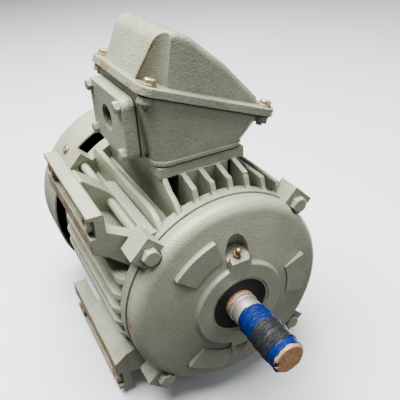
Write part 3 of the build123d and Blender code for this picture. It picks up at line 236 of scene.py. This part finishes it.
def foot_marks(s):
    """Rust on the lower edges of the feet and on their soles."""
    z = s.position()[2]
    low = s.ramp(z, 1 * MM, 17 * MM, invert=True)
    foot_edge = s.times(s.times(s.edge_mask(2.6 * MM), low), s.patches(0.40, 0.52, 55, 6, 0.7))
    sole = s.times(s.ramp(z, 0.3 * MM, 1.2 * MM, invert=True), s.patches(0.42, 0.55, 70, 6, 0.7))
    return s.most(foot_edge, sole)


# Materials

def cast_paint(name, base, grain, edge_wear, spots=0.70, marks=None):
    """Enamel over sand-cast iron, with a grain in mm, painted shade darkening its corners in patches like
    grime, painted glints in fine specks, and rust on edges and in spots.
    """
    s = Shader(name)
    colour = s.mix(s.patches(0.32, 0.68, 22, 5, 0.6), shade(base, 0.84), shade(base, 1.12))
    # Fine specks lighter than the paint: painted glints on the cast grain. The same noise also varies the
    # roughness.
    glint_grain = s.patches(0.30, 0.74, 900, 2)
    colour = s.mix(s.times(glint_grain, 0.28), colour, shade(base, 1.6))
    # Darker in corners found by occlusion: painted shade, broken up by noise into patches like grime.
    shade_and_grime = s.times(s.corner_mask(22 * MM), s.patches(0.2, 0.75, 60, 4))
    colour = s.mix(s.times(shade_and_grime, 0.75), colour, shade(base, 0.30))
    edge = s.times(s.edge_mask(1.3 * MM), s.patches(0.55, 0.66, 45, 6, 0.65))
    edge = s.times(edge, edge_wear * 2)
    speck = s.patches(spots, spots + 0.03, 75, 7, 0.75)
    mask = s.math("MINIMUM", s.most(edge, speck), 1.0)
    if marks:
        mask = s.most(mask, marks(s))
    colour = s.mix(mask, colour, rust(s))
    roughness = s.plus(s.times(mask, 0.35), s.plus(0.22, s.times(glint_grain, 0.16)))
    height = s.plus(s.times(s.noise(620, 3, 0.6), 2.1), s.times(s.noise(110, 3), 0.7))
    height = s.minus(height, s.times(mask, 0.4))
    s.bsdf.inputs["Coat Weight"].default_value = 0.30
    s.bsdf.inputs["Coat Roughness"].default_value = 0.28
    return s.finish(colour, roughness, s.bump(height, grain * MM, s.soft_edges(1.4 * MM), 0.9))


def metal(name, base, rough, rusty, metallic=1.0):
    """Plain metal with light tarnish, and with rust where the noise passes the rusty level."""
    s = Shader(name)
    tarnish = s.patches(0.35, 0.7, 140, 5, 0.6)
    colour = s.mix(s.times(tarnish, 0.6), base, shade(base, 0.55))
    mask = s.patches(rusty, rusty + 0.08, 170, 6, 0.7)
    colour = s.mix(mask, colour, rust(s))
    shine = s.minus(metallic, s.times(mask, 0.9 * metallic))
    roughness = s.plus(rough, s.times(s.most(mask, tarnish), 0.25))
    normal = s.bump(s.noise(700, 3, 0.6), 0.08 * MM, s.soft_edges(0.5 * MM), 0.8)
    return s.finish(colour, roughness, normal, shine)


def plain(name, base, rough, grain, scale=500):
    """Rubber or moulded plastic with slight colour variation and a grain in mm."""
    s = Shader(name)
    colour = s.mix(s.patches(0.3, 0.7, 60, 5, 0.6), shade(base, 0.75), shade(base, 1.25))
    normal = s.bump(s.noise(scale, 4, 0.6), grain * MM, s.soft_edges(0.5 * MM), 0.8)
    return s.finish(colour, rough, normal)


def shaft_material():
    """Ground steel with a rusty end face and a rusty ring beside the seal."""
    s = Shader("shaft_steel")
    x = s.position()[0]
    wobble = s.times(s.minus(s.noise(120, 5, 0.7), 0.5), 12 * MM)
    steel = s.mix(s.patches(0.35, 0.65, 160, 5, 0.65), (0.66, 0.62, 0.53), (0.84, 0.81, 0.74))
    near_seal = s.ramp(s.plus(x, wobble), 122 * MM, 125 * MM, invert=True)
    end_face = s.ramp(x, 195.2 * MM, 195.8 * MM)
    spots = s.patches(0.60, 0.68, 210, 6, 0.7)
    mask = s.math("MINIMUM", s.most(s.most(near_seal, end_face), spots), 1.0)
    pale_rust = s.mix(s.patches(0.3, 0.7, 500, 5, 0.7), (0.20, 0.095, 0.045), (0.52, 0.33, 0.19))
    rings = s.noise(60, 3, 0.5, stretch=(30.0, 1.0, 1.0))
    normal = s.bump(s.plus(rings, s.noise(800, 3)), 0.10 * MM, s.soft_edges(0.5 * MM), 0.7)
    shine = s.minus(0.85, s.times(mask, 0.8))
    return s.finish(s.mix(mask, steel, pale_rust), s.plus(0.34, s.times(mask, 0.4)), normal, shine)


PAINT = (0.232, 0.244, 0.184)
housing_paint = cast_paint("housing_paint", PAINT, 0.45, 0.42, marks=foot_marks)
shield_paint = cast_paint("shield_paint", PAINT, 0.34, 0.30, spots=0.73, marks=shield_marks)
box_paint = cast_paint("box_paint", PAINT, 0.75, 0.55, spots=0.71)
lid_paint = cast_paint("lid_paint", PAINT, 0.75, 0.60, marks=lid_marks)
bolt_paint = cast_paint("bolt_paint", shade(PAINT, 1.08), 0.15, 0.25)
cover_paint = cast_paint("cover_paint", PAINT, 0.10, 0.15, spots=0.76)
zinc = metal("zinc_screws", (0.50, 0.44, 0.30), 0.40, 0.58)
plate_bolt_steel = metal("plate_bolt_steel", (0.40, 0.40, 0.34), 0.42, 0.58, metallic=0.7)
nipple_brass = metal("nipple_brass", (0.32, 0.25, 0.14), 0.42, 0.50)
rusty_plug = metal("rusty_plug", (0.30, 0.17, 0.09), 0.55, 0.40)
bearing_steel = metal("bearing_steel", (0.62, 0.62, 0.63), 0.22, 0.90)
sheet_steel = metal("lamination_steel", (0.30, 0.30, 0.31), 0.40, 0.70)
copper = metal("winding_copper", (0.40, 0.15, 0.07), 0.35, 0.95, metallic=0.6)
aluminium = metal("cage_aluminium", (0.60, 0.61, 0.63), 0.40, 0.95)
brass = metal("terminal_brass", (0.62, 0.42, 0.16), 0.30, 0.92)
rubber = plain("black_rubber", (0.022, 0.021, 0.020), 0.62, 0.15)
gasket_rubber = plain("gasket_rubber", (0.030, 0.028, 0.026), 0.75, 0.30, scale=260)
insulation = plain("lead_insulation", (0.030, 0.030, 0.034), 0.50, 0.05)
fan_plastic = plain("fan_plastic", (0.028, 0.028, 0.030), 0.45, 0.10)
board_plastic = plain("board_plastic", (0.12, 0.050, 0.028), 0.40, 0.06)

MATERIALS = {
    "frame_housing": housing_paint, "drive_end_shield": shield_paint, "rear_end_shield": shield_paint,
    "drive_end_bolts": bolt_paint, "rear_end_bolts": bolt_paint, "conduit_plate_bolts": plate_bolt_steel,
    "fan_cover": cover_paint, "terminal_box_body": box_paint, "terminal_box_lid": lid_paint,
    "conduit_plate": box_paint, "fan_cover_screws": zinc, "lid_screws": zinc, "box_screws": zinc,
    "grease_nipple": nipple_brass, "earth_screw": brass, "grease_relief_plug": rusty_plug,
    "wave_spring": sheet_steel, "fan_clip": sheet_steel, "stator_core": sheet_steel, "rotor_core": sheet_steel,
    "shaft": shaft_material(), "stator_winding": copper, "rotor_cage": aluminium,
    "drive_end_seal": rubber, "rear_v_ring": rubber,
    "lid_gasket": gasket_rubber, "box_gasket": gasket_rubber, "conduit_plate_gasket": gasket_rubber,
    "motor_leads": insulation, "cooling_fan": fan_plastic, "terminal_board": board_plastic,
    "terminal_studs": brass, "terminal_nuts": brass,
}
for name, obj in nodes.items():
    material = MATERIALS.get(name, bearing_steel)
    if not obj.material_slots:
        obj.data.materials.append(material)
    for slot in obj.material_slots:
        slot.material = material


# Mesh helpers. Sizes are in mm.

def new_piece(name, verts, faces, material, smooth=False):
    """Object with one material from points in metres."""
    mesh = bpy.data.meshes.new(name)
    mesh.from_pydata(verts, [], faces)
    mesh.materials.append(material)
    for face in mesh.polygons:
        face.use_smooth = smooth
    mesh.update()
    piece = bpy.data.objects.new(name, mesh)
    bpy.context.collection.objects.link(piece)
    return piece


def fasten(piece, body):
    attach(piece, body)


def on_shaft_axis(x, radius, angle):
    """Point in metres at a radius round the shaft axis."""
    return (x * MM, radius * math.cos(angle) * MM, AXIS_Z + radius * math.sin(angle) * MM)


def sleeve_faces(columns, rows, closed=False):
    """Quads round a sleeve whose points are numbered column by column; closed also joins its ends."""
    faces = []
    for i in range(columns):
        k = (i + 1) % columns
        for j in range(rows if closed else rows - 1):
            m = (j + 1) % rows
            faces.append((i * rows + j, i * rows + m, k * rows + m, k * rows + j))
    return faces


# Tape round the shaft end

TAPE_SEAT_R = 14.30
TAPE_TURN = 11.0  # length of shaft that one turn of tape covers
CRUMPLE = 0.34
CRUMPLE_FLOOR = -0.2


def tape_material(name, base, rough, fibre=None):
    """Woven adhesive tape with creases along the wrap, painted shade in the creases, a painted sheen in light
    patches, and torn fibre where a colour is given.
    """
    s = Shader(name)
    creases = s.noise(70, 5, 0.7, stretch=(6.0, 1.0, 1.0), distortion=1.2)
    # Darker where the crease noise is low: painted shade in the creases.
    colour = s.mix(s.ramp(creases, 0.35, 0.68), shade(base, 0.55), base)
    # Lighter patches: a painted sheen on the tape.
    painted_sheen = s.times(s.patches(0.62, 0.74, 240, 4, 0.6), 0.15)
    colour = s.mix(painted_sheen, colour, shade(base, 2.0, 0.04))
    if fibre:
        colour = s.mix(s.patches(0.74, 0.77, 190, 6, 0.75), colour, fibre)
    folds = s.ramp(s.noise(55, 4, 0.6, stretch=(9.0, 1.0, 1.0), distortion=0.8), 0.40, 0.60)
    height = s.plus(s.plus(creases, folds), s.times(s.noise(380, 4, 0.7), 0.3))
    s.bsdf.inputs["Specular IOR Level"].default_value = 0.30
    return s.finish(colour, rough, s.bump(height, 0.9 * MM, None, 0.9))


def wrap(name, material, ends, radius, slants, slant_angles, ragged, layer, seed):
    """Sleeve of tape with slanted, ragged ends and overlapping turns."""
    columns, rows = 160, 72
    verts = []
    for i in range(columns):
        a = FULL_TURN * i / columns
        ring = Vector((math.cos(a), math.sin(a), seed))
        start = ends[0] + slants[0] * math.cos(a - slant_angles[0]) + ragged * noise.noise(ring * 3.1)
        end = ends[1] + slants[1] * math.cos(a - slant_angles[1])
        end = end + ragged * noise.noise(ring * 2.7 + Vector((4, 0, 0)))
        for j in range(rows):
            x = start + (end - start) * (j / (rows - 1))
            turn = ((x - ends[0]) / TAPE_TURN + a / FULL_TURN) % 1.0
            place = Vector((x * 0.16, math.cos(a) * 2.2, math.sin(a) * 2.2 + seed))
            crumple = CRUMPLE * noise.fractal(place, 0.6, 2.0, 5)
            r = radius + layer * (1.0 - turn) + max(CRUMPLE_FLOOR, crumple)
            if j == 0 or j == rows - 1:
                r = TAPE_SEAT_R
            verts.append(on_shaft_axis(x, r, a))
    piece = new_piece(name, verts, sleeve_faces(columns, rows), material, smooth=True)
    fasten(piece, "rotor")


blue = tape_material("blue_tape", (0.003, 0.021, 0.145), 0.42, fibre=(0.22, 0.25, 0.34))
cream = tape_material("torn_fibre", (0.42, 0.33, 0.22), 0.75)
black = tape_material("black_tape", (0.022, 0.025, 0.028), 0.40)
wrap("blue_tape_inner", blue, ends=(142.0, 168.0), radius=14.75, slants=(2.4, 1.0), slant_angles=(0.6, 2.0),
     ragged=1.4, layer=1.0, seed=1.0)
wrap("blue_tape_end", blue, ends=(181.0, 194.6), radius=14.80, slants=(1.0, 0.5), slant_angles=(1.0, 0.3),
     ragged=1.6, layer=0.9, seed=5.0)
wrap("black_tape_band", black, ends=(163.5, 185.0), radius=15.45, slants=(3.2, 2.8), slant_angles=(0.4, 3.6),
     ragged=1.1, layer=0.8, seed=9.0)
wrap("torn_tape_rim", cream, ends=(193.4, 195.0), radius=14.55, slants=(0.3, 0.3), slant_angles=(1.0, 2.3),
     ragged=1.5, layer=0.2, seed=13.0)


# Details of the castings

FRAME_RING_R = 102.0
FIN_ROOT_R = 86.0
FIN_EDGE_R = 2.0


def side_fin(name, place, reach, half, rib_top=None):
    """Fin beside the terminal box, with ends that sweep down to the frame rings.

    It lies at a height place from the shaft axis and reaches a radius; a rib on it goes up to the box pad."""
    tip = -math.sqrt(reach ** 2 - place ** 2)
    ring = -math.sqrt(FRAME_RING_R ** 2 - place ** 2)
    root = -math.sqrt(FIN_ROOT_R ** 2 - place ** 2)
    rear = [(-88.0, root), (-94.0, ring + 4.0), (-93.0, ring + 0.6), (-89.0, tip + 6.0), (-84.0, tip + 1.5),
            (-80.0, tip)]
    crest = [(62.0, tip), (70.0, tip + 0.8)]
    if rib_top:
        crest = [(-78.0, tip), (-60.0, rib_top), (60.0, rib_top), (69.5, tip), (73.0, tip + 1.4)]
    front = [(76.0, tip + 2.6), (80.5, tip + 5.6), (84.0, tip + 9.2), (88.0, ring + 0.6), (89.0, ring + 4.0),
             (84.0, root)]
    outline = rear + crest + front
    count = len(outline)
    verts = [(x * MM, y * MM, AXIS_Z + z * MM) for z in (place - half, place + half) for x, y in outline]
    faces = [tuple(range(count)), tuple(reversed(range(count, 2 * count)))]
    for i in range(count):
        k = (i + 1) % count
        faces.append((k, i, i + count, k + count))
    piece = new_piece(name, verts, faces, housing_paint, smooth=True)
    rounded = piece.modifiers.new("rounded", "BEVEL")
    rounded.width = FIN_EDGE_R * MM
    rounded.segments = 3
    rounded.limit_method = "ANGLE"
    rounded.angle_limit = math.radians(20)
    fasten(piece, "motor_body")


def rod(name, ends, y, z, radius):
    """Round rib that joins the front and rear ear, at y and z from the shaft axis."""
    columns, steps = 20, 24
    verts, faces = [], []
    for j in range(steps + 1):
        x = ends[0] + (ends[1] - ends[0]) * j / steps
        for i in range(columns):
            a = FULL_TURN * i / columns
            verts.append((x * MM, (y + radius * math.cos(a)) * MM, AXIS_Z + (z + radius * math.sin(a)) * MM))
    for j in range(steps):
        for i in range(columns):
            k = (i + 1) % columns
            faces.append((j * columns + i, j * columns + k, (j + 1) * columns + k, (j + 1) * columns + i))
    faces.append(tuple(reversed(range(columns))))
    faces.append(tuple(range(steps * columns, (steps + 1) * columns)))
    piece = new_piece(name, verts, faces, housing_paint, smooth=True)
    for cap in piece.data.polygons[-2:]:
        cap.use_smooth = False
    fasten(piece, "motor_body")


def thread(name, x, y, low, high, crest, root, pitch):
    """Helical thread on the wall of an upright hole, from a low to a high z."""
    columns = 96
    rows = int((high - low) / pitch * 8) + 1
    verts = []
    for i in range(columns):
        a = FULL_TURN * i / columns
        for j in range(rows):
            z = low + (high - low) * j / (rows - 1)
            turn = ((z - low) / pitch + a / FULL_TURN) % 1.0
            r = root - (root - crest) * (1.0 - abs(2.0 * turn - 1.0))
            if j in (0, rows - 1):
                r = root
            verts.append(((x + r * math.cos(a)) * MM, (y + r * math.sin(a)) * MM, z * MM))
    piece = new_piece(name, verts, sleeve_faces(columns, rows), box_paint)
    fasten(piece, "motor_body")


def ring_plate(name, front_x, rear_x, inner, outer):
    """Flat ring round the shaft axis, with a groove in its front face near the inner rim."""
    columns = 96
    profile = [(front_x, inner), (front_x - 1.5, inner + 1.0), (front_x, inner + 2.5), (front_x, outer),
               (rear_x, outer), (rear_x, inner)]
    verts = [on_shaft_axis(x, r, FULL_TURN * i / columns) for i in range(columns) for x, r in profile]
    piece = new_piece(name, verts, sleeve_faces(columns, len(profile), closed=True), fan_plastic)
    fasten(piece, "motor_body")


side_fin("side_fin_near_box", place=-38.35, reach=115.0, half=2.6, rib_top=-117.6)
side_fin("side_fin_over_bar", place=-56.5, reach=112.0, half=3.0)
rod("ear_rod", ends=(-85.0, 80.0), y=-76.0, z=-73.4, radius=4.8)
thread("conduit_thread", x=0.0, y=-160.0, low=51.2, high=62.2, crest=11.0, root=12.38, pitch=1.81)
# A black ring just behind the fan cover's grille: a dark sheet that stands in for the shade inside the cover.
ring_plate("shade_ring_in_cover", front_x=-176.4, rear_x=-177.4, inner=61.0, outer=103.0)


# Stage: one sheet under the object as it lies in the photograph, one under its feet

STAGE_REACH = 6.0
STAGE_SIDE_Y = 0.1165
STAGE_COLOUR = (0.50, 0.51, 0.53, 1)


def stage_sheet(name, corners):
    """Pale sheet that is seen from its front only and blocks no light."""
    mesh = bpy.data.meshes.new(name)
    mesh.from_pydata(corners, [], [(0, 1, 2, 3)])
    sheet = bpy.data.objects.new(name, mesh)
    bpy.context.collection.objects.link(sheet)
    mat = bpy.data.materials.new(name + "_pale")
    mat.use_nodes = True
    tree = mat.node_tree
    tree.nodes.clear()
    out = tree.nodes.new("ShaderNodeOutputMaterial")
    pale = tree.nodes.new("ShaderNodeBsdfDiffuse")
    pale.inputs["Color"].default_value = STAGE_COLOUR
    clear = tree.nodes.new("ShaderNodeBsdfTransparent")
    side = tree.nodes.new("ShaderNodeNewGeometry")
    mix = tree.nodes.new("ShaderNodeMixShader")
    tree.links.new(side.outputs["Backfacing"], mix.inputs[0])
    tree.links.new(pale.outputs[0], mix.inputs[1])
    tree.links.new(clear.outputs[0], mix.inputs[2])
    tree.links.new(mix.outputs[0], out.inputs["Surface"])
    mesh.materials.append(mat)
    sheet.visible_shadow = False
    sheet.visible_diffuse = False
    sheet.visible_glossy = False
    sheet.visible_transmission = False


SQUARE = [(-STAGE_REACH, -STAGE_REACH), (STAGE_REACH, -STAGE_REACH), (STAGE_REACH, STAGE_REACH),
          (-STAGE_REACH, STAGE_REACH)]
stage_sheet("stage_side", [(x, STAGE_SIDE_Y, z) for x, z in SQUARE])
stage_sheet("stage_floor", [(x, y, 0) for x, y in SQUARE])


# Camera, solved from the photograph

CAMERA_PLACE = (0.4185, -0.3306, -0.0711)
CAMERA_RIGHT = (0.475, 0.049, 0.878)
CAMERA_LOOK = (-0.761, 0.523, 0.383)
CAMERA_LENS = 45.4
CAMERA_SENSOR = 36.0

right = Vector(CAMERA_RIGHT).normalized()
look = Vector(CAMERA_LOOK)
look = (look - right * look.dot(right)).normalized()
up = right.cross(look)
camera_data = bpy.data.cameras.new("photo_camera")
camera_data.lens = CAMERA_LENS
camera_data.sensor_width = CAMERA_SENSOR
camera_data.clip_end = 50.0
camera = bpy.data.objects.new("photo_camera", camera_data)
bpy.context.collection.objects.link(camera)
camera_frame = Matrix((right, up, -look)).transposed().to_4x4()
camera_frame.translation = Vector(CAMERA_PLACE)
camera.matrix_world = camera_frame
bpy.context.scene.camera = camera


# Light

LIGHT_CENTRE = Vector((0.0, -0.05, AXIS_Z))


def area_light(name, direction, distance, size, power, colour=(1, 1, 1)):
    """Disk of light in a direction from the light centre, turned to face it."""
    data = bpy.data.lights.new(name, "AREA")
    data.shape = "DISK"
    data.size = size
    data.energy = power
    data.color = colour
    lamp = bpy.data.objects.new(name, data)
    bpy.context.collection.objects.link(lamp)
    way = Vector(direction).normalized()
    lamp.location = LIGHT_CENTRE + way * distance
    lamp.rotation_euler = (-way).to_track_quat("-Z", "Y").to_euler()


area_light("key", (-0.12, -0.98, -0.12), distance=1.7, size=1.9, power=175, colour=(1.0, 0.985, 0.955))
area_light("fill", (0.80, -0.50, 0.35), distance=1.8, size=1.0, power=9, colour=(1.0, 0.99, 0.97))
area_light("back", (-0.5, 0.6, 0.8), distance=2.0, size=1.4, power=26)
bpy.context.scene.view_settings.look = "AgX - Medium High Contrast"
world = bpy.data.worlds.new("pale_room")
world.use_nodes = True
background = world.node_tree.nodes["Background"]
background.inputs["Color"].default_value = (0.80, 0.83, 0.88, 1)
background.inputs["Strength"].default_value = 0.30
bpy.context.scene.world = world
